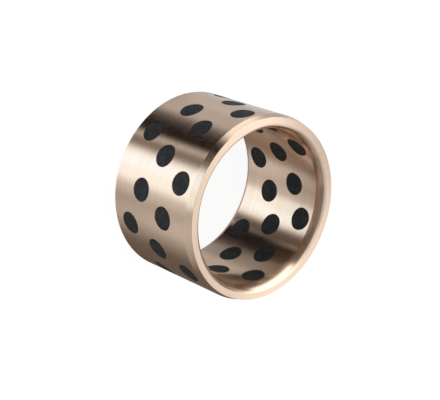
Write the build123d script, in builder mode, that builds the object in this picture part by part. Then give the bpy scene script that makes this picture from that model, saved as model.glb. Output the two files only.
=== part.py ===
from build123d import *
from math import cos, radians, sin, tan
import os

# Graphite plugged bushing: a turned bronze sleeve with solid graphite plugs pressed through its wall.
#
# The sleeve stands on its back end. +Z is the axis of the bore, the origin is the middle of the back
# end, and +X runs through the first plug of the lowest row. Lengths are millimetres, angles degrees.

# Sleeve
bore_diameter = 80.0
wall_thickness = 7.5
sleeve_length = 60.0

# Front end, pressed in first: a long shallow lead-in outside, and a flared mouth inside, where a
# slight cone turns over a wide radius into a steeper one with a rounded rim
lead_in_angle = 15.0
lead_in_length = 4.0
front_cone_angle = 14.0
front_cone_length = 2.2
front_flare_angle = 34.0
front_flare_length = 2.6
front_bend_radius = 8.0
front_rim_radius = 2.2

# Back end: a broken corner outside, a shorter cone with a rounded mouth inside
corner_break = 0.6
back_cone_angle = 30.0
back_cone_depth = 3.5
back_mouth_radius = 1.3

# Graphite plugs: level rows spaced about the sleeve's middle, each turned on from the row below
plug_diameter = 12.0
plugs_per_row = 6
row_count = 5
row_pitch = 9.0
row_turn = -24.0

# Room a drill keeps inside the bore before it meets the wall, and past the wall after it
drill_overrun = 5.0

bore_radius = bore_diameter / 2
outer_radius = bore_radius + wall_thickness
lead_in_drop = lead_in_length * tan(radians(lead_in_angle))
front_cone_start = sleeve_length - front_flare_length - front_cone_length
front_bend_corner = bore_radius + front_cone_length * tan(radians(front_cone_angle))
front_rim_corner = front_bend_corner + front_flare_length * tan(radians(front_flare_angle))
back_mouth_corner = bore_radius + back_cone_depth * tan(radians(back_cone_angle))
lowest_row_height = (sleeve_length - (row_count - 1) * row_pitch) / 2
plug_step = 360.0 / plugs_per_row

# The drill's starting depth is where its whole rim, not just its point, is clear inside the bore
drill_start = bore_radius - drill_overrun - plug_diameter / 2
drill_travel = outer_radius + drill_overrun - drill_start


def plug_plane(row, place):
    """Plane across the path of one plug, facing outward from inside the bore.

    Rows count from 0 at the bottom, and places from 0 at the row's first plug.
    """
    turn = radians(row * row_turn + place * plug_step)
    height = lowest_row_height + row * row_pitch
    outward = Vector(cos(turn), sin(turn), 0)
    origin = outward * drill_start + Vector(0, 0, height)
    return Plane(origin=origin, x_dir=Vector(0, 0, 1), z_dir=outward)


os.makedirs("parts", exist_ok=True)

# The sleeve as it is turned, before drilling: half a section in radius and height, spun about the bore
with BuildPart() as turned_blank:
    with BuildSketch(Plane.XZ) as half_section:
        with BuildLine():
            Polyline(
                (outer_radius - corner_break, 0),
                (outer_radius, corner_break),
                (outer_radius, sleeve_length - lead_in_length),
                (outer_radius - lead_in_drop, sleeve_length),
                (front_rim_corner, sleeve_length),
                (front_bend_corner, sleeve_length - front_flare_length),
                (bore_radius, front_cone_start),
                (bore_radius, back_cone_depth),
                (back_mouth_corner, 0),
                close=True,
            )
        make_face()
        front_rim = half_section.vertices().group_by(Axis.Y)[-1].sort_by(Axis.X)[0]
        fillet(front_rim, front_rim_radius)
        bend_place = (front_bend_corner, sleeve_length - front_flare_length)
        front_bend = half_section.vertices().sort_by_distance(bend_place)[0]
        fillet(front_bend, front_bend_radius)
        back_mouth = half_section.vertices().group_by(Axis.Y)[0].sort_by(Axis.X)[0]
        fillet(back_mouth, back_mouth_radius)
    revolve(axis=Axis.Z)

# The bronze sleeve: the blank with one hole drilled through the wall for every plug
with BuildPart() as bronze_sleeve:
    add(turned_blank.part)
    for row in range(row_count):
        for place in range(plugs_per_row):
            with BuildSketch(plug_plane(row, place)):
                Circle(plug_diameter / 2)
            extrude(amount=drill_travel, mode=Mode.SUBTRACT)
bronze_sleeve.part.label = "bronze_sleeve"
export_step(bronze_sleeve.part, "parts/bronze_sleeve.step")

# The graphite plugs: each fills its hole and is turned flush with the sleeve, inside and outside
for row in range(row_count):
    for place in range(plugs_per_row):
        with BuildPart() as graphite_plug:
            with BuildSketch(plug_plane(row, place)):
                Circle(plug_diameter / 2)
            extrude(amount=drill_travel)
            add(turned_blank.part, mode=Mode.INTERSECT)
        plug_name = f"graphite_plug_{row + 1}_{place + 1}"
        graphite_plug.part.label = plug_name
        export_step(graphite_plug.part, f"parts/{plug_name}.step")
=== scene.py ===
"""Looks of the graphite plugged bushing: a turned bronze sleeve with graphite plugs in its wall."""

import logging
import math
from dataclasses import dataclass, replace
from enum import Enum

import bpy
import numpy as np
from mathutils import Matrix, Vector
from numpy.typing import NDArray


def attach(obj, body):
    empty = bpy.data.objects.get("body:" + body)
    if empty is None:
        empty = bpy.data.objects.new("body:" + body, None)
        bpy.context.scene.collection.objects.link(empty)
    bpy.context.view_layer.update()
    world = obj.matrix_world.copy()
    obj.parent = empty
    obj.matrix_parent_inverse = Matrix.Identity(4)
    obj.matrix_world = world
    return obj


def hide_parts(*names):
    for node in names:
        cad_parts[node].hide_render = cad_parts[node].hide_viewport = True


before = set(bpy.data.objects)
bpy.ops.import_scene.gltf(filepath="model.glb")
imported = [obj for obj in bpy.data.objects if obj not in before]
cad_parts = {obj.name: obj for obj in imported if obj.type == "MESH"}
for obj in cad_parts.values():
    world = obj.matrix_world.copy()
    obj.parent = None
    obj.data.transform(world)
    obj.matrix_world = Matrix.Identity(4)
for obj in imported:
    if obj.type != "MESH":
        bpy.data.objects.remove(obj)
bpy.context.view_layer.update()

Array = NDArray[np.float64]
Colour = tuple[float, float, float]
Range = tuple[float, float]
Socket = bpy.types.NodeSocket

# What an input of a node takes: a plain value, or the socket that is wired to it
Value = float | Socket
Input = float | tuple[float, ...] | Socket

log = logging.getLogger("bushing")

# Metres in a millimetre, and millimetres in a metre
MM = 0.001
PER_METRE = 1000.0

# Points that are the same multiple of this length, in millimetres, are welded into one vertex
WELD = 1e-5

# A full turn and a radian, in degrees, and the decimals at which two turns are the same
FULL_TURN = 360.0
RADIAN = 180 / math.pi
TURN_DECIMALS = 9

UP = np.array([0.0, 0.0, 1.0])

# The numbers of a Mix node's sockets for colours: its two inputs, and its output
MIX_FIRST, MIX_SECOND, MIX_RESULT = 6, 7, 2


def outward(turns: Array) -> Array:
    """Level unit vectors that point away from the axis at the turns, given in degrees."""
    angles = np.radians(turns)
    return np.stack([np.cos(angles), np.sin(angles), np.zeros_like(angles)], axis=-1)


def in_order(turns: Array) -> Array:
    """The turns from 0 up to a full turn, in degrees, each once."""
    return np.unique(np.round(turns % FULL_TURN, TURN_DECIMALS) % FULL_TURN)


def grey(level: float) -> Colour:
    """A neutral colour of one level."""
    return level, level, level


def opaque(colour: Colour) -> tuple[float, ...]:
    """The colour with full cover, as a colour socket takes it."""
    return *colour, 1.0


WHITE = opaque(grey(1.0))


# ---------------------------------------------------------------- surfaces


@dataclass(frozen=True)
class Patch:
    """A stretch of surface: points and outward normals, n by 3, and the corners of each face."""

    points: Array
    normals: Array
    quads: NDArray[np.int64]


def quad_grid(points: Array, normals: Array, closed: bool = False) -> Patch:
    """Joins a grid of points into faces.

    Face (i, j) has the corners (i, j), (i+1, j), (i+1, j+1) and (i, j+1).

    Args:
        points: rows by columns by 3.
        normals: the outward normal at each point, in the same shape.
        closed: whether the last column joins the first.

    Returns:
        The grid as one patch.
    """
    rows, columns = points.shape[:2]
    index = np.arange(rows * columns).reshape(rows, columns)
    if closed:
        index = np.column_stack([index, index[:, :1]])
    corners = [index[:-1, :-1], index[1:, :-1], index[1:, 1:], index[:-1, 1:]]
    quads = np.stack(corners, axis=-1).reshape(-1, 4)
    return Patch(points.reshape(-1, 3), normals.reshape(-1, 3), quads)


def put_mesh(name: str, patches: list[Patch]) -> bpy.types.Object:
    """Welds patches into one closed mesh object at the origin.

    Points that round to the same place are one vertex. A face whose corners turn against its
    normals is reversed, and a corner that repeats the one before it is dropped, which leaves a
    triangle at a pole.

    Args:
        name: the object's name.
        patches: the surface in millimetres.

    Returns:
        The new object, with smooth faces and the patches' own normals at their corners.
    """
    offsets = np.cumsum([0] + [len(patch.points) for patch in patches[:-1]])
    points = np.concatenate([patch.points for patch in patches])
    normals = np.concatenate([patch.normals for patch in patches])
    quads = np.concatenate([patch.quads + offset for patch, offset in zip(patches, offsets)])

    across = points[quads[:, 2]] - points[quads[:, 0]]
    along = points[quads[:, 3]] - points[quads[:, 1]]
    turned = (np.cross(across, along) * normals[quads].sum(axis=1)).sum(axis=1) < 0
    quads[turned] = quads[turned][:, ::-1]

    keys = np.round(points / WELD).astype(np.int64)
    _, first, place = np.unique(keys, axis=0, return_index=True, return_inverse=True)
    corners = place.reshape(-1)[quads]
    kept = corners != np.roll(corners, -1, axis=1)
    kept[kept.sum(axis=1) < 3] = False
    totals = kept.sum(axis=1)
    totals = totals[totals > 0]

    mesh = bpy.data.meshes.new(name)
    mesh.vertices.add(len(first))
    mesh.vertices.foreach_set("co", (points[first] * MM).ravel())
    mesh.loops.add(int(totals.sum()))
    mesh.loops.foreach_set("vertex_index", corners[kept].astype(np.int32))
    mesh.polygons.add(len(totals))
    mesh.polygons.foreach_set("loop_start", (np.cumsum(totals) - totals).astype(np.int32))
    mesh.polygons.foreach_set("use_smooth", np.ones(len(totals), bool))
    mesh.update(calc_edges=True)
    mesh.validate()
    mesh.normals_split_custom_set(normals[quads[kept]].tolist())
    piece = bpy.data.objects.new(name, mesh)
    bpy.context.scene.collection.objects.link(piece)
    return piece


@dataclass(frozen=True)
class Corner:
    """One corner of a half section: its radius, height and rounding in millimetres."""

    radius: float
    height: float
    rounding: float = 0.0


def section_runs(corners: list[Corner], arc_steps: int) -> list[tuple[Array, Array]]:
    """Turns a line of corners into straight runs and arcs.

    An arc of rounding q at a corner that bends by b starts and ends q tan(b / 2) from it. The
    outward normal is on the right of the line's direction.

    Args:
        corners: the half section's corners in order, the first and last without rounding.
        arc_steps: how many steps each arc has.

    Returns:
        For each run its points and its normals, n by 2, as radius and height.
    """
    spots = np.array([[corner.radius, corner.height] for corner in corners])
    ways = np.diff(spots, axis=0)
    ways /= np.linalg.norm(ways, axis=1, keepdims=True)
    sides = np.column_stack([ways[:, 1], -ways[:, 0]])
    runs: list[tuple[Array, Array]] = []
    start = spots[0]
    for step, corner in enumerate(corners[1:]):
        spot, way, side = spots[step + 1], ways[step], sides[step]
        if corner.rounding <= 0:
            runs.append((np.array([start, spot]), np.array([side, side])))
            start = spot
            continue
        following = ways[step + 1]
        bend = math.atan2(way[0] * following[1] - way[1] * following[0], float(way @ following))
        setback = corner.rounding * math.tan(abs(bend) / 2)
        entry = spot - way * setback
        runs.append((np.array([start, entry]), np.array([side, side])))
        turns = np.linspace(0, bend, arc_steps + 1)[:, None]
        spin = np.array([-side[1], side[0]])
        around = side * np.cos(turns) + spin * np.sin(turns)
        centre = entry - side * corner.rounding * math.copysign(1, bend)
        runs.append((centre + around * corner.rounding * math.copysign(1, bend), around))
        start = spot + following * setback
    return runs


# ---------------------------------------------------------------- materials


class Output(Enum):
    """The output node that ends a tree."""

    MATERIAL = "ShaderNodeOutputMaterial"
    WORLD = "ShaderNodeOutputWorld"


@dataclass(frozen=True)
class Grain:
    """A noise: its scale, its finer layers, how strong they are, and its share of the tone."""

    scale: float
    detail: float
    roughness: float
    share: float


class Shade:
    """A node tree being put together: short calls that add a node and wire it."""

    def __init__(self, tree: bpy.types.NodeTree, output: Output) -> None:
        """Clears the tree and gives it its output node.

        Args:
            tree: the tree of a material or a world.
            output: the output node that the tree ends in.
        """
        self.tree = tree
        self.tree.nodes.clear()
        self.output = tree.nodes.new(output.value)

    def finish(self, shader: Socket) -> None:
        """Wires the finished shader to the output."""
        self.tree.links.new(shader, self.output.inputs[0])

    def node(
        self, kind: str, inputs: dict[str | int, Input] | None = None, **settings: str
    ) -> bpy.types.Node:
        """Adds a node.

        Args:
            kind: the node's type without its ShaderNode prefix.
            inputs: a value or an output socket for each named or numbered input.
            settings: the node's own properties.

        Returns:
            The node.
        """
        made = self.tree.nodes.new("ShaderNode" + kind)
        for key, value in settings.items():
            setattr(made, key, value)
        for key, value in (inputs or {}).items():
            if isinstance(value, Socket):
                self.tree.links.new(value, made.inputs[key])
            else:
                made.inputs[key].default_value = value
        return made

    def shader(self, kind: str, *inputs: Input) -> Socket:
        """Adds a shader node on the inputs, in their order, and returns its output."""
        return self.node(kind, dict(enumerate(inputs))).outputs[0]

    def math(self, operation: str, *values: Value) -> Socket:
        """Adds a Math node on the values and returns its output."""
        return self.node("Math", dict(enumerate(values)), operation=operation).outputs[0]

    def vector(self, operation: str, *values: Input) -> Socket:
        """Adds a Vector Math node on the values and returns its vector output."""
        made = self.node("VectorMath", dict(enumerate(values)), operation=operation)
        return made.outputs["Vector"]

    def length(self, vector: Socket) -> Socket:
        """Adds a Vector Math node that measures the vector and returns its length."""
        return self.node("VectorMath", {0: vector}, operation="LENGTH").outputs["Value"]

    def axes(self, vector: Socket) -> list[Socket]:
        """Adds a node that splits the vector and returns its x, y and z."""
        return list(self.node("SeparateXYZ", {0: vector}).outputs)

    def degrees(self, operation: str, *values: Value) -> Socket:
        """Adds a Math node that gives an angle, and turns its radians to degrees."""
        return self.math("MULTIPLY", self.math(operation, *values), RADIAN)

    def ramp(
        self, value: Socket, source: Range, target: Range = (0.0, 1.0), smooth: bool = True
    ) -> Socket:
        """Maps one range of values to another, clamped at both ends.

        Args:
            value: the value.
            source: the two values that become the target's two.
            target: what they become.
            smooth: whether the change is eased at its ends.

        Returns:
            The new value.
        """
        kind = "SMOOTHSTEP" if smooth else "LINEAR"
        inputs = {
            "Value": value,
            "From Min": source[0],
            "From Max": source[1],
            "To Min": target[0],
            "To Max": target[1],
        }
        return self.node("MapRange", inputs, interpolation_type=kind).outputs["Result"]

    def blend(self, factor: Socket, first: Colour | Socket, second: Colour | Socket) -> Socket:
        """Mixes two colours.

        Args:
            factor: 0 for the first colour and 1 for the second.
            first: the first colour.
            second: the second colour.

        Returns:
            The mixed colour.
        """
        inputs: dict[str | int, Input] = {0: factor}
        for place, colour in ((MIX_FIRST, first), (MIX_SECOND, second)):
            inputs[place] = colour if isinstance(colour, Socket) else opaque(colour)
        return self.node("Mix", inputs, data_type="RGBA").outputs[MIX_RESULT]

    def noise(self, at: Socket, grain: Grain) -> Socket:
        """Adds a noise texture.

        Args:
            at: where the noise is read.
            grain: its settings.

        Returns:
            The noise's value.
        """
        inputs = {
            "Vector": at,
            "Scale": grain.scale,
            "Detail": grain.detail,
            "Roughness": grain.roughness,
        }
        return self.node("TexNoise", inputs).outputs[0]

    def mixture(self, *noises: tuple[Socket, Grain]) -> Socket:
        """Adds up noises, each times its share.

        Args:
            noises: each noise's value with its settings.

        Returns:
            The sum.
        """
        total, *others = [self.math("MULTIPLY", value, grain.share) for value, grain in noises]
        for other in others:
            total = self.math("ADD", total, other)
        return total


def new_material(name: str) -> tuple[bpy.types.Material, Shade]:
    """Makes a node material.

    Args:
        name: the material's name.

    Returns:
        The material, and its node tree ready to be put together.
    """
    material = bpy.data.materials.new(name)
    material.use_nodes = True
    return material, Shade(material.node_tree, Output.MATERIAL)


@dataclass(frozen=True)
class TurnedBronze:
    """Tin bronze as it leaves the lathe: fine turning marks round the axis and a soft satin gloss.

    The marks and the bands are noises on the lathe coordinate in millimetres, and the mottle is one
    on the place in metres. The drift is how far x and y move the first two for each metre. The
    gloss is drawn out across the marks, a quarter turn from round the axis, and the marks' height
    is in metres.
    """

    name: str = "turned_bronze"
    colour: Colour = (0.8, 0.58, 0.435)
    deep_colour: Colour = (0.778, 0.554, 0.406)
    colour_tones: Range = (0.35, 0.65)
    roughness: Range = (0.24, 0.20)
    roughness_tones: Range = (0.3, 0.7)
    anisotropy: float = 0.925
    gloss_turn: float = 0.25
    mark_height: float = 0.0000024
    drift: float = 22.0
    marks: Grain = Grain(1.6, 3.0, 0.65, share=0.45)
    bands: Grain = Grain(0.35, 2.0, 0.5, share=0.35)
    mottle: Grain = Grain(90.0, 4.0, 0.6, share=0.2)

    def make(self) -> bpy.types.Material:
        """Builds the material.

        The turning marks follow the lathe coordinate, radius plus height, and change only slowly
        with x and y, so they run round walls, cones and end rings alike. The tone, from deep and
        dull to pale and bright, is the sum of the noises, each times its share.

        Returns:
            The node material.
        """
        material, shade = new_material(self.name)
        spot = shade.node("TexCoord").outputs["Object"]
        x, y, z = shade.axes(spot)
        flat = shade.node("CombineXYZ", {0: x, 1: y}).outputs[0]
        lathe = shade.math("MULTIPLY", shade.math("ADD", shade.length(flat), z), PER_METRE)
        drifted = shade.vector("MULTIPLY", flat, (self.drift, self.drift, 0.0))
        turned = shade.vector("ADD", drifted, shade.node("CombineXYZ", {2: lathe}).outputs[0])
        marks = shade.noise(turned, self.marks)
        bands = shade.noise(turned, self.bands)
        mottle = shade.noise(spot, self.mottle)
        tone = shade.mixture((marks, self.marks), (bands, self.bands), (mottle, self.mottle))
        paleness = shade.ramp(tone, self.colour_tones)
        colour = shade.blend(paleness, self.deep_colour, self.colour)
        rough = shade.ramp(tone, self.roughness_tones, self.roughness, smooth=False)
        bump = shade.node("Bump", {"Height": marks, "Strength": 1.0, "Distance": self.mark_height})
        tangent = shade.node("Tangent", direction_type="RADIAL", axis="Z")
        metal = shade.node("BsdfPrincipled", {
            "Base Color": colour,
            "Metallic": 1.0,
            "Roughness": rough,
            "Anisotropic": self.anisotropy,
            "Anisotropic Rotation": self.gloss_turn,
            "Tangent": tangent.outputs[0],
            "Normal": bump.outputs[0],
        })
        shade.finish(metal.outputs[0])
        return material


@dataclass(frozen=True)
class PressedGraphite:
    """Graphite of the plugs: near black, matte, with fine grain and paler, smoother flecks.

    The grain and the cloud are noises on metres, and the grain's height is in metres.
    """

    name: str = "pressed_graphite"
    colour: Colour = (0.010, 0.0095, 0.010)
    fleck_colour: Colour = (0.034, 0.032, 0.033)
    colour_tones: Range = (0.42, 0.68)
    roughness: Range = (0.70, 0.52)
    roughness_tones: Range = (0.3, 0.7)
    gloss: float = 0.2
    grain_height: float = 0.00002
    grain: Grain = Grain(1400.0, 3.0, 0.7, share=0.7)
    cloud: Grain = Grain(260.0, 2.0, 0.5, share=0.3)

    def make(self) -> bpy.types.Material:
        """Builds the material.

        The tone, from the dark ground to the flecks, is the sum of the noises, each times its
        share.

        Returns:
            The node material.
        """
        material, shade = new_material(self.name)
        spot = shade.node("TexCoord").outputs["Object"]
        grain = shade.noise(spot, self.grain)
        cloud = shade.noise(spot, self.cloud)
        tone = shade.mixture((grain, self.grain), (cloud, self.cloud))
        fleck = shade.ramp(tone, self.colour_tones)
        colour = shade.blend(fleck, self.colour, self.fleck_colour)
        rough = shade.ramp(tone, self.roughness_tones, self.roughness, smooth=False)
        bump = shade.node("Bump", {"Height": grain, "Strength": 1.0, "Distance": self.grain_height})
        matte = shade.node("BsdfPrincipled", {
            "Base Color": colour,
            "Roughness": rough,
            "Specular IOR Level": self.gloss,
            "Normal": bump.outputs[0],
        })
        shade.finish(matte.outputs[0])
        return material


# ---------------------------------------------------------------- the bushing


@dataclass(frozen=True)
class PlugPattern:
    """Where the plugs sit: level rows, each turned on from the row below.

    Lengths are in millimetres and turns in degrees. Rows and places count from 0. Rows below 0 and
    past the last one have cells but no plugs.
    """

    diameter: float = 12.0
    per_row: int = 6
    rows: int = 5
    row_pitch: float = 9.0
    row_turn: float = -24.0
    lowest_row: float = 12.0

    @property
    def step(self) -> float:
        """Turn from one plug of a row to the next."""
        return FULL_TURN / self.per_row

    def plugs(self) -> list[tuple[int, int]]:
        """Row and place of every plug, from the lowest row up."""
        return [(row, place) for row in range(self.rows) for place in range(self.per_row)]

    def drilled(self, row: int) -> bool:
        """Whether the row has plugs."""
        return 0 <= row < self.rows

    def centre(self, row: int, place: int) -> tuple[float, float]:
        """Turn and height of the axis of a plug or the middle of a cell."""
        return row * self.row_turn + place * self.step, self.lowest_row + row * self.row_pitch

    def directions(self, row: int, place: int) -> Array:
        """Unit vectors at a plug.

        Args:
            row: the plug's row.
            place: its place in the row.

        Returns:
            The outward, sideways and upward directions, one a row.
        """
        turn = math.radians(self.centre(row, place)[0])
        out = [math.cos(turn), math.sin(turn), 0.0]
        side = [-math.sin(turn), math.cos(turn), 0.0]
        return np.array([out, side, UP])

    def cell(self) -> tuple[tuple[float, float], tuple[float, float]]:
        """The steep and the flat side of the near-square cell round a plug, as turn and height."""
        steep = (self.step + 2 * self.row_turn, 2 * self.row_pitch)
        return steep, (self.row_turn, self.row_pitch)


class Face(Enum):
    """The two turned walls that the plugs end in, with the way that each faces from the axis."""

    OUTSIDE = 1.0
    BORE = -1.0


@dataclass
class Sleeve:
    """The bronze sleeve: walls with real holes, and the turned ends between them.

    Lengths are in millimetres and angles in degrees. The walls are made of the plug pattern's
    cells, with spare rows of them past its ends, and a point past the top or the bottom line moves
    on to the wall's own end. The steps are those of a cell's side, of the way from a hole's rim to
    its cell's edge, and of an arc in the half section.
    """

    pattern: PlugPattern
    bore_radius: float = 40.0
    outer_radius: float = 47.5
    length: float = 60.0
    lead_in_length: float = 4.0
    lead_in_angle: float = 15.0
    front_cone_angle: float = 14.0
    front_cone_length: float = 2.2
    front_flare_angle: float = 34.0
    front_flare_length: float = 2.6
    front_bend_radius: float = 8.0
    front_rim_radius: float = 2.2
    back_cone_angle: float = 30.0
    back_cone_depth: float = 3.5
    back_mouth_radius: float = 1.3
    corner_break: float = 0.6
    edge_rounding: float = 0.15
    top_line: float = 54.8
    bottom_line: float = 4.2
    spare_rows: int = 2
    cell_steps: int = 14
    rim_steps: int = 6
    arc_steps: int = 8

    def radius(self, face: Face) -> float:
        """Radius of one wall."""
        return self.outer_radius if face is Face.OUTSIDE else self.bore_radius

    def span(self, face: Face) -> tuple[float, float]:
        """Finds where one wall is plain.

        Args:
            face: which wall.

        Returns:
            The heights of its lower and its upper end.
        """
        if face is Face.OUTSIDE:
            return self.corner_break, self.length - self.lead_in_length
        return self.back_cone_depth, self.length - self.front_flare_length - self.front_cone_length

    def cell_edge(self) -> tuple[Array, Array]:
        """Walks round the edge of a cell, as parts of its sides from -1/2 to 1/2.

        Returns:
            Each point's part of the steep side, and its part of the flat side.
        """
        steps = np.linspace(-0.5, 0.5, self.cell_steps + 1)[:-1]
        half = np.full_like(steps, 0.5)
        along = np.concatenate([steps, half, -steps, -half])
        across = np.concatenate([-half, steps, half, -steps])
        return along, across

    def rim_angles(self) -> Array:
        """Finds at what angle each point of a cell's edge lies from the middle of its hole.

        The cell is taken flat, at the radius midway through the wall.

        Returns:
            The angles in radians, from the level tangent upward.
        """
        along, across = self.cell_edge()
        steep, flat = self.pattern.cell()
        middle = (self.outer_radius + self.bore_radius) / 2
        sideways = np.radians(along * steep[0] + across * flat[0]) * middle
        return np.arctan2(along * steep[1] + across * flat[1], sideways)

    def cell_points(self, row: int, place: int, face: Face) -> tuple[Array, Array]:
        """Lays a grid over one cell of a wall.

        A point of a cell is its centre plus s times the steep side plus t times the flat side, with
        s and t from -1/2 to 1/2, and past the top or the bottom line its height is that of the
        wall's end. Round a plug the grid runs instead from the hole's rim to the cell's edge. At
        angle a the rim of a hole of radius r lies asin(r cos a / R) on in turn and r sin a up from
        the cell's centre, where R is the wall's radius.

        Args:
            row: the cell's row.
            place: its place in the row.
            face: which wall.

        Returns:
            The grid's turns in degrees, and its heights.
        """
        low, high = self.span(face)
        turn, height = self.pattern.centre(row, place)
        steep, flat = self.pattern.cell()
        drilled = self.pattern.drilled(row)
        steps = np.linspace(-0.5, 0.5, self.cell_steps + 1)
        along, across = self.cell_edge() if drilled else np.meshgrid(steps, steps, indexing="ij")
        turns = turn + along * steep[0] + across * flat[0]
        heights = height + along * steep[1] + across * flat[1]
        heights = np.where(heights > self.top_line, high, heights)
        heights = np.where(heights < self.bottom_line, low, heights)
        if drilled:
            angle = self.rim_angles()
            hole = self.pattern.diameter / 2
            rim_turn = np.degrees(np.arcsin(hole * np.cos(angle) / self.radius(face)))
            rim_height = hole * np.sin(angle)
            ease = np.linspace(0, 1, self.rim_steps + 1)[:, None]
            turns = (turn + rim_turn) * (1 - ease) + turns * ease
            heights = (height + rim_height) * (1 - ease) + heights * ease
        return turns, heights

    def wall(self, face: Face) -> tuple[list[Patch], Array, Array]:
        """Builds one plain wall out of cells.

        A point at turn a and height h lies at (R cos a, R sin a, h). Faces that lie wholly on the
        line of the wall's end are left out.

        Args:
            face: which wall.

        Returns:
            The patches, and the turns at which the wall meets its lower and its upper end.
        """
        low, high = self.span(face)
        patches: list[Patch] = []
        used: list[Array] = []
        for row in range(-self.spare_rows, self.pattern.rows + self.spare_rows):
            for place in range(self.pattern.per_row):
                turns, heights = self.cell_points(row, place, face)
                out = outward(turns)
                points = out * self.radius(face)
                points[..., 2] = heights
                patch = quad_grid(points, out * face.value, self.pattern.drilled(row))
                level = heights.ravel()[patch.quads]
                moved = np.all(level == high, axis=1) | np.all(level == low, axis=1)
                patch = replace(patch, quads=patch.quads[~moved])
                patches.append(patch)
                corners = np.unique(patch.quads)
                used.append(np.column_stack([turns.ravel()[corners], heights.ravel()[corners]]))
        spots = np.concatenate(used)
        lower, upper = (in_order(spots[spots[:, 1] == end, 0]) for end in (low, high))
        return patches, lower, upper

    def hole_wall(self, row: int, place: int) -> Patch:
        """Builds one drilled wall, from the bore's surface to the outside.

        A point at angle a of a hole of radius r is r cos a sideways of the hole's axis and r sin a
        above it, and sqrt(R^2 - (r cos a)^2) out from the bushing's axis.

        Args:
            row: the hole's row.
            place: its place in the row.

        Returns:
            The patch, with its normals toward the hole's axis.
        """
        height = self.pattern.centre(row, place)[1]
        out, side, up = self.pattern.directions(row, place)
        angle = self.rim_angles()
        hole = self.pattern.diameter / 2
        sideways, upward = hole * np.cos(angle), hole * np.sin(angle)
        depth = np.stack([
            np.sqrt(self.bore_radius**2 - sideways**2),
            np.sqrt(self.outer_radius**2 - sideways**2),
        ])
        level = sideways[:, None] * side + (height + upward)[:, None] * up
        points = depth[..., None] * out + level
        inward = -(np.cos(angle)[:, None] * side + np.sin(angle)[:, None] * up)
        return quad_grid(points, np.broadcast_to(inward, points.shape).copy(), closed=True)

    def front_section(self) -> list[Corner]:
        """Draws the front end, from the outside over the end ring into the bore.

        Returns:
            Its half section.
        """
        drop = self.lead_in_length * math.tan(math.radians(self.lead_in_angle))
        cone_rise = self.front_cone_length * math.tan(math.radians(self.front_cone_angle))
        flare_rise = self.front_flare_length * math.tan(math.radians(self.front_flare_angle))
        bend = self.bore_radius + cone_rise
        bend_height = self.length - self.front_flare_length
        return [
            Corner(self.outer_radius, self.length - self.lead_in_length),
            Corner(self.outer_radius - drop, self.length, self.edge_rounding),
            Corner(bend + flare_rise, self.length, self.front_rim_radius),
            Corner(bend, bend_height, self.front_bend_radius),
            Corner(self.bore_radius, bend_height - self.front_cone_length),
        ]

    def back_section(self) -> list[Corner]:
        """Draws the back end, from the bore over the end ring to the outside.

        Returns:
            Its half section.
        """
        cone_rise = self.back_cone_depth * math.tan(math.radians(self.back_cone_angle))
        return [
            Corner(self.bore_radius, self.back_cone_depth),
            Corner(self.bore_radius + cone_rise, 0, self.back_mouth_radius),
            Corner(self.outer_radius - self.corner_break, 0, self.edge_rounding),
            Corner(self.outer_radius, self.corner_break),
        ]

    def end(self, corners: list[Corner], turns: Array) -> list[Patch]:
        """Carries a half section round the axis, at the turns where the walls end.

        A point of the section with radius r and height h lies at (r cos a, r sin a, h) at turn a.

        Args:
            corners: the half section.
            turns: the turns in degrees.

        Returns:
            One patch for each run of the section.
        """
        out = outward(turns)
        patches = []
        for line, normals in section_runs(corners, self.arc_steps):
            points = line[:, None, :1] * out + line[:, None, 1:] * UP
            facing = normals[:, None, :1] * out + normals[:, None, 1:] * UP
            patches.append(quad_grid(points, facing, closed=True))
        return patches

    def build(self, bronze: bpy.types.Material) -> bpy.types.Object:
        """Builds the sleeve and puts the bronze on it.

        Args:
            bronze: the sleeve's material.

        Returns:
            The sleeve, standing for its CAD node.
        """
        outside, lower, upper = self.wall(Face.OUTSIDE)
        bore, bore_lower, bore_upper = self.wall(Face.BORE)
        if not (np.allclose(lower, bore_lower) and np.allclose(upper, bore_upper)):
            raise ValueError("the two walls end at different turns")
        holes = [self.hole_wall(row, place) for row, place in self.pattern.plugs()]
        ends = self.end(self.front_section(), upper) + self.end(self.back_section(), lower)
        piece = put_mesh("sleeve", outside + bore + holes + ends)
        piece.data.materials.append(bronze)
        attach(piece, "root")
        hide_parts("bronze_sleeve")
        return piece


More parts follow.
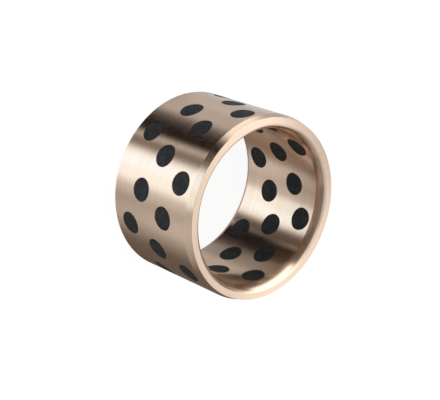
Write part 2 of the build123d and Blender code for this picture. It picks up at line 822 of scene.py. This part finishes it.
@dataclass
class Plug:
    """One graphite plug, in millimetres, turned level with the sleeve at both ends.

    The clearance is the gap round it, and the recess is how far its ends lie below the walls. Each
    end has flat rings, from its middle outward, and then edge rings over the rounding.
    """

    sleeve: Sleeve
    row: int
    place: int
    clearance: float = 0.05
    recess: float = 0.02
    edge_rounding: float = 0.10
    around: int = 48
    flat_rings: int = 5
    edge_rings: int = 4

    def cap(self, face: Face) -> tuple[Array, Array]:
        """Builds one end of the plug, as rings from its middle to its rounded edge.

        A point at distance d and angle a from the plug's axis lies sqrt(R^2 - (d cos a)^2) from the
        plane of the bushing's axis, less the recess and what the edge rounds off, where R is the
        radius of the wall that the end is turned with.

        Args:
            face: which wall.

        Returns:
            Points and normals, ring by ring, as depth, sideways and upward.
        """
        radius, sign = self.sleeve.radius(face), face.value
        rim = self.sleeve.pattern.diameter / 2 - self.clearance
        flat = np.linspace(0, 1, self.flat_rings, endpoint=False) * (rim - self.edge_rounding)
        lean = np.linspace(0, math.pi / 2, self.edge_rings)
        edge = rim - self.edge_rounding + self.edge_rounding * np.sin(lean)
        reach = np.concatenate([flat, edge])[:, None]
        drop = np.concatenate([0 * flat, self.edge_rounding * (1 - np.cos(lean))])[:, None]
        tilt = np.concatenate([0 * flat, lean])[:, None]
        angle = np.linspace(0, 2 * math.pi, self.around, endpoint=False)[None, :]
        sideways, upward = reach * np.cos(angle), reach * np.sin(angle)
        crown = np.sqrt(radius**2 - sideways**2)
        depth = crown - sign * (drop + self.recess)
        facing = [
            sign * np.cos(tilt) * crown / radius,
            sign * np.cos(tilt) * sideways / radius + np.sin(tilt) * np.cos(angle),
            np.sin(tilt) * np.sin(angle) + 0 * crown,
        ]
        normals = np.stack(facing, axis=-1)
        normals /= np.linalg.norm(normals, axis=-1, keepdims=True)
        return np.stack([depth, sideways, upward], axis=-1), normals

    def build(self, graphite: bpy.types.Material) -> bpy.types.Object:
        """Builds the plug and puts the graphite on it.

        Its shaft joins the last rings of its two ends.

        Args:
            graphite: the plug's material.

        Returns:
            The plug, standing for its CAD node.
        """
        pattern = self.sleeve.pattern
        height = pattern.centre(self.row, self.place)[1]
        directions = pattern.directions(self.row, self.place)
        outer, outer_facing = self.cap(Face.OUTSIDE)
        inner, inner_facing = self.cap(Face.BORE)
        shaft = np.stack([outer[-1], inner[-1]])
        shaft_facing = np.stack([outer_facing[-1], outer_facing[-1]])
        grids = (outer, outer_facing), (inner, inner_facing), (shaft, shaft_facing)
        patches = []
        for points, facing in grids:
            placed = points @ directions + height * UP
            patches.append(quad_grid(placed, facing @ directions, closed=True))
        label = f"{self.row + 1}_{self.place + 1}"
        piece = put_mesh(f"plug_{label}", patches)
        piece.data.materials.append(graphite)
        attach(piece, "root")
        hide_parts(f"graphite_plug_{label}")
        return piece


# ---------------------------------------------------------------- studio


class Seen(Enum):
    """The one kind of ray that a stage piece shows itself to."""

    BY_CAMERA = "visible_camera"
    BY_REFLECTIONS = "visible_glossy"


def lay_flat(name: str, rim: Array, material: bpy.types.Material, seen: Seen) -> bpy.types.Object:
    """Makes a flat piece of the studio, of one face.

    Args:
        name: the piece's name.
        rim: its corners in order, in metres, n by 3.
        material: its material.
        seen: the only rays that see it.

    Returns:
        The new object.
    """
    mesh = bpy.data.meshes.new(name)
    mesh.from_pydata(rim.tolist(), [], [list(range(len(rim)))])
    mesh.materials.append(material)
    piece = bpy.data.objects.new(name, mesh)
    bpy.context.scene.collection.objects.link(piece)
    for rays in ("camera", "diffuse", "glossy", "transmission", "shadow"):
        flag = f"visible_{rays}"
        setattr(piece, flag, flag == seen.value)
    return piece


@dataclass(frozen=True)
class Panel:
    """A soft-edged card or lamp far off in the studio, or a patch on a net, which paints shade and
    light into reflections.

    Its sides are turns round the axis and its ends are rises above the floor, in degrees. The edge
    and the end edge are how far it fades each way from its sides and from its ends. A side that
    leans moves by so many degrees of turn for each degree of rise above the panel's middle. The
    density is how much a patch on a net holds back.
    """

    left: float
    right: float
    low: float
    high: float
    colour: Colour
    edge: float
    end_edge: float
    left_lean: float = 0.0
    right_lean: float = 0.0
    density: float = 1.0

    def cover(self, shade: Shade, turn: Socket, rise: Socket) -> Socket:
        """Works out how much of the panel lies in each direction.

        With d degrees past a side or an end and an edge of e, the cover eases from 1 at d = -e to
        0 at d = e, and the sides' cover is multiplied by the ends'.

        Args:
            shade: the nodes of the world or a net.
            turn: the direction's turn in degrees.
            rise: its rise in degrees.

        Returns:
            A value from 0 off the panel to 1 on it.
        """
        half_high = (self.high - self.low) / 2
        above = shade.math("SUBTRACT", rise, (self.low + self.high) / 2)
        middle: Value = (self.left + self.right) / 2
        half_wide: Value = (self.right - self.left) / 2
        if self.left_lean or self.right_lean:
            middle_lean = (self.left_lean + self.right_lean) / 2
            half_lean = (self.right_lean - self.left_lean) / 2
            middle = shade.math("MULTIPLY_ADD", above, middle_lean, middle)
            half_wide = shade.math("MULTIPLY_ADD", above, half_lean, half_wide)
        aside = shade.math("PINGPONG", shade.math("SUBTRACT", turn, middle), FULL_TURN / 2)
        past_side = shade.math("SUBTRACT", aside, half_wide)
        wide = shade.ramp(past_side, (-self.edge, self.edge), (1.0, 0.0))
        ends = half_high - self.end_edge, half_high + self.end_edge
        tall = shade.ramp(shade.math("ABSOLUTE", above), ends, (1.0, 0.0))
        return shade.math("MULTIPLY", wide, tall)


@dataclass(frozen=True)
class ShadeNet:
    """A thin round sheet below the back opening, with panels on it, in millimetres.
    Only reflections in the bronze meet it: it is painted shade, with a warm tint and one pale
    patch of painted light, in what the bore mirrors.

    A point of the net has a turn about the panels' centre, and its reach from that centre takes the
    place of a panel's rise.
    """

    depth: float
    radius: float
    panels: tuple[Panel, ...]
    centre: tuple[float, float] = (-24.0, -7.0)
    around: int = 48

    def material(self, name: str) -> bpy.types.Material:
        """Makes the net's material.

        Each panel holds back its density of what lies beyond, and glows with its own colour:
        painted shade, and on a pale panel painted light, in the bronze's reflections.

        Args:
            name: the material's name.

        Returns:
            The node material.
        """
        material, shade = new_material(name)
        material.cycles.emission_sampling = "NONE"
        x, y, _ = shade.axes(shade.node("TexCoord").outputs["Object"])
        along = shade.math("MULTIPLY_ADD", x, PER_METRE, -self.centre[0])
        across = shade.math("MULTIPLY_ADD", y, PER_METRE, -self.centre[1])
        turn = shade.degrees("ARCTAN2", across, along)
        square = shade.math("MULTIPLY", across, across)
        reach = shade.math("SQRT", shade.math("MULTIPLY_ADD", along, along, square))
        glow: Colour | Socket = grey(0.0)
        through: Value = 1.0
        for panel in self.panels:
            held = shade.math("MULTIPLY", panel.cover(shade, turn, reach), panel.density)
            glow = shade.blend(held, glow, panel.colour)
            through = shade.math("MULTIPLY", through, shade.math("SUBTRACT", 1.0, held))
        clear = shade.shader("BsdfTransparent", through)
        lit = shade.shader("Emission", glow, 1.0)
        shade.finish(shade.shader("AddShader", clear, lit))
        return material

    def hang(self, name: str) -> None:
        """Hangs the sheet of painted shade, which only reflections in the bronze pass through.

        Its rim is a circle: at turn a, (radius cos a, radius sin a, -depth).

        Args:
            name: the net's name.
        """
        turns = np.linspace(0, FULL_TURN, self.around, endpoint=False)
        rim = (outward(turns) * self.radius - self.depth * UP) * MM
        piece = lay_flat(name, rim, self.material(name), Seen.BY_REFLECTIONS)


@dataclass(frozen=True)
class Floor:
    """The pale floor: a square that glows and takes a soft shadow. Its half side is in metres."""

    glow: float = 0.90
    tone: float = 0.14
    half: float = 4.0

    def material(self) -> bpy.types.Material:
        """Makes the floor's material, pale from above and clear from below.

        Returns:
            The node material.
        """
        material, shade = new_material("pale_floor")
        matte = shade.shader("BsdfDiffuse", opaque(grey(self.tone)))
        glow = shade.shader("Emission", WHITE, self.glow)
        pale = shade.shader("AddShader", matte, glow)
        clear = shade.shader("BsdfTransparent")
        under = shade.node("NewGeometry").outputs["Backfacing"]
        shade.finish(shade.shader("MixShader", under, pale, clear))
        return material

    def lay(self) -> None:
        """Lays the floor. The camera alone sees it, so it shows the shadow and hides no light."""
        rim = np.array([[-1, -1, 0], [1, -1, 0], [1, 1, 0], [-1, 1, 0]]) * self.half
        floor = lay_flat("floor", rim, self.material(), Seen.BY_CAMERA)


@dataclass(frozen=True)
class Viewpoint:
    """Where the camera stands, in metres and degrees, and its lens, in millimetres.

    It looks at its aim from a turn round the axis and a rise above the floor, and leans sideways.
    It sees what lies between the nearest and the farthest distance.
    """

    aim: tuple[float, float, float] = (-0.00031, 0.00362, 0.02906)
    distance: float = 0.64037
    turn: float = 20.471
    rise: float = 45.936
    lean: float = -111.192
    lens: float = 102.84
    sensor: float = 36.0
    nearest: float = 0.01
    farthest: float = 20.0

    def build(self) -> None:
        """Sets up the camera."""
        turn, rise, lean = (math.radians(angle) for angle in (self.turn, self.rise, self.lean))
        level = math.cos(rise)
        back = Vector((math.cos(turn) * level, math.sin(turn) * level, math.sin(rise)))
        side = Vector((-math.sin(turn), math.cos(turn), 0))
        up = back.cross(side) * math.cos(lean) + side * math.sin(lean)
        axes = Matrix((up.cross(back), up, back)).transposed().to_4x4()
        data = bpy.data.cameras.new("camera")
        data.lens, data.sensor_width = self.lens, self.sensor
        data.clip_start, data.clip_end = self.nearest, self.farthest
        camera = bpy.data.objects.new("camera", data)
        bpy.context.scene.collection.objects.link(camera)
        camera.matrix_world = Matrix.Translation(Vector(self.aim) + back * self.distance) @ axes
        bpy.context.scene.camera = camera


@dataclass
class Studio:
    """Light, floor and camera. Each panel lies over the ones before it."""

    viewpoint: Viewpoint = Viewpoint()
    floor: Floor = Floor()
    ambient: Colour = (0.46, 0.435, 0.41)
    tint: Colour = (1.106, 1.172, 1.218)
    plain_light: float = 0.95
    panels: tuple[Panel, ...] = (
        # High cards, for the end ring and the mouth's rim
        Panel(-196, -112, 16, 85, grey(0.92), 12, 14),
        Panel(-196, -164, 26, 85, grey(1.45), 8, 12),
        Panel(-185, -130, 49, 85, grey(1.12), 10, 4),
        Panel(15, 190, 30, 86, grey(0.64), 12, 10),
        # Side cards, for both edges of the outside and of the lead-in
        Panel(-200, -118, -60, 15, (0.68, 0.73, 0.79), 12, 14),
        Panel(-118, -105, -60, 15, (0.48, 0.475, 0.475), 8, 14),
        # Narrow cards, for the near side of the mouth's rim
        Panel(-185, -174, -30, 20, grey(0.26), 4, 8),
        Panel(-172, -146, -30, 20, grey(0.90), 3.5, 8),
        Panel(-152, -119, -2, 39, grey(0.17), 5, 3),
        # Dim cards, for the shaded side of the flare
        Panel(18, 80, -14, 34, grey(0.12), 8, 6),
        Panel(80, 116, -14, 28, grey(0.25), 8, 8),
        Panel(116, 150, -14, 28, grey(0.42), 8, 8),
        # Low dim cards, for the shaded edge of the outside and of the lead-in
        Panel(112, 190, -60, -8, (0.135, 0.11, 0.092), 12, 8),
        Panel(160, 192, -64, -47, (0.07, 0.06, 0.05), 6, 4),
        # High lamps, for the far side of the rim
        Panel(-142, -110, 44, 64, grey(2.6), 7, 6),
        Panel(-116, -50, 30, 72, (1.4, 1.6, 1.75), 8, 8),
        Panel(-50, -10, 30, 80, grey(0.95), 8, 8),
        Panel(-12, 22, 42, 80, grey(1.0), 8, 6),
        # A lamp for the bright side of the flare, and a black card for its dark band
        Panel(-96, -34, -4, 30, (1.95, 2.0, 2.05), 6, 8),
        Panel(-29, 22, -14, 33, grey(0.02), 5, 4),
        # Low cards, for the outside and the lead-in before their dark band
        Panel(-81, -46, -48, -34, grey(0.08), 5, 5),
        Panel(-82, -31, -36, -1, grey(1.17), 9, 7, right_lean=1.1),
        Panel(-100, -62, -80, -49, grey(0.60), 6, 6),
        Panel(-62, -30, -80, -48, grey(0.03), 6, 6),
        # The dark band, from its soft ground to the pale streak at its edge
        Panel(-37, 6, -80, 2, (0.225, 0.195, 0.175), 6, 6, left_lean=0.4),
        Panel(-49, -12.5, -80, 2, (0.008, 0.001, 0.0), 6, 6, left_lean=0.7, right_lean=0.28),
        Panel(-18, -11, -62, -30, grey(0.77), 2.5, 6),
        # The main lamp, for the bright band, and the softer light that ends it
        Panel(5, 50, -72, -3, (1.22, 1.38, 1.50), 7, 7),
        Panel(14, 28, -72, -3, (1.24, 1.50, 1.75), 4, 7),
        Panel(50, 76, -72, -12, grey(0.72), 12, 8),
        Panel(70, 94, -46, -26, grey(1.06), 8, 6),
        Panel(66, 112, -76, -50, grey(0.03), 8, 5),
    )
    # Sheets below the back opening that paint shade, and in one place light, into the bore's
    # reflections
    shade_nets: tuple[ShadeNet, ...] = (
        # The near net paints shade into what the bore mirrors, where the bushing's own shadow on
        # the floor would lie, and paints light into it in one place
        ShadeNet(20, 66, (
            Panel(-88, 2, 5, 60, grey(0.0), 7, 5, density=0.45),
            Panel(-54, -8, 5, 60, grey(0.0), 6, 5, density=0.55),
            Panel(-53, -43, 5, 58, grey(0.0), 5, 5, density=0.50),
            Panel(-70, -48, 18, 58, grey(0.0), 5, 5, density=0.40),
            Panel(-50, -36, 42, 60, grey(0.0), 6, 5, density=0.50),
            Panel(-36, -5, 40, 72, grey(0.0), 6, 8, density=0.85),
            Panel(-88, -60, 15, 37, grey(0.0), 6, 5, density=0.40),
            Panel(-175, -132, 10, 30, grey(1.0), 8, 6, density=0.12),
            Panel(22, 66, 46, 66, grey(0.0), 8, 5, density=0.22),
            Panel(62, 106, 42, 60, grey(0.0), 8, 5, density=0.60),
        )),
        # The far net paints warm shade into one side of it
        ShadeNet(60, 92, (
            Panel(130, 190, 22, 80, (0.37, 0.315, 0.275), 6, 8, density=0.95),
            Panel(98, 132, 45, 78, (0.18, 0.08, 0.03), 8, 8, density=0.60),
        )),
    )

    def world(self) -> None:
        """Builds the world.

        Metal sees the panels over the ambient tone, all times the tint. Matte surfaces get plain
        soft light, and the camera sees white.
        """
        world = bpy.data.worlds.new("studio")
        bpy.context.scene.world = world
        world.use_nodes = True
        world.cycles.sampling_method = "NONE"
        shade = Shade(world.node_tree, Output.WORLD)
        toward = shade.node("TexCoord").outputs["Generated"]
        x, y, z = shade.axes(shade.vector("NORMALIZE", toward))
        turn = shade.degrees("ARCTAN2", y, x)
        rise = shade.degrees("ARCSINE", z)
        colour: Colour | Socket = self.ambient
        for panel in self.panels:
            colour = shade.blend(panel.cover(shade, turn, rise), colour, panel.colour)
        path = shade.node("LightPath").outputs
        cards = shade.shader("Background", shade.vector("MULTIPLY", colour, self.tint), 1.0)
        plain = shade.shader("Background", WHITE, self.plain_light)
        white = shade.shader("Background", WHITE, 1.0)
        lit = shade.shader("MixShader", path["Is Diffuse Ray"], cards, plain)
        shade.finish(shade.shader("MixShader", path["Is Camera Ray"], lit, white))

    def build(self) -> None:
        """Sets up light, floor, camera and the plain view transform."""
        self.world()
        # Sheets of painted shade that only the bronze's reflections meet
        for number, shade_net in enumerate(self.shade_nets, 1):
            shade_net.hang(f"net_{number}")
        self.floor.lay()
        self.viewpoint.build()
        bpy.context.scene.view_settings.view_transform = "Standard"


def report(piece: bpy.types.Object) -> None:
    """Logs a piece's name and how many faces it has."""
    log.info("%s: %d faces", piece.name, len(piece.data.polygons))


def main() -> None:
    """Builds the sleeve, its plugs and the studio, and reports each piece."""
    logging.basicConfig(level=logging.INFO, format="%(name)s: %(message)s")
    sleeve = Sleeve(PlugPattern())
    report(sleeve.build(TurnedBronze().make()))
    graphite = PressedGraphite().make()
    for row, place in sleeve.pattern.plugs():
        report(Plug(sleeve, row, place).build(graphite))
    Studio().build()


if __name__ == "__main__":
    main()
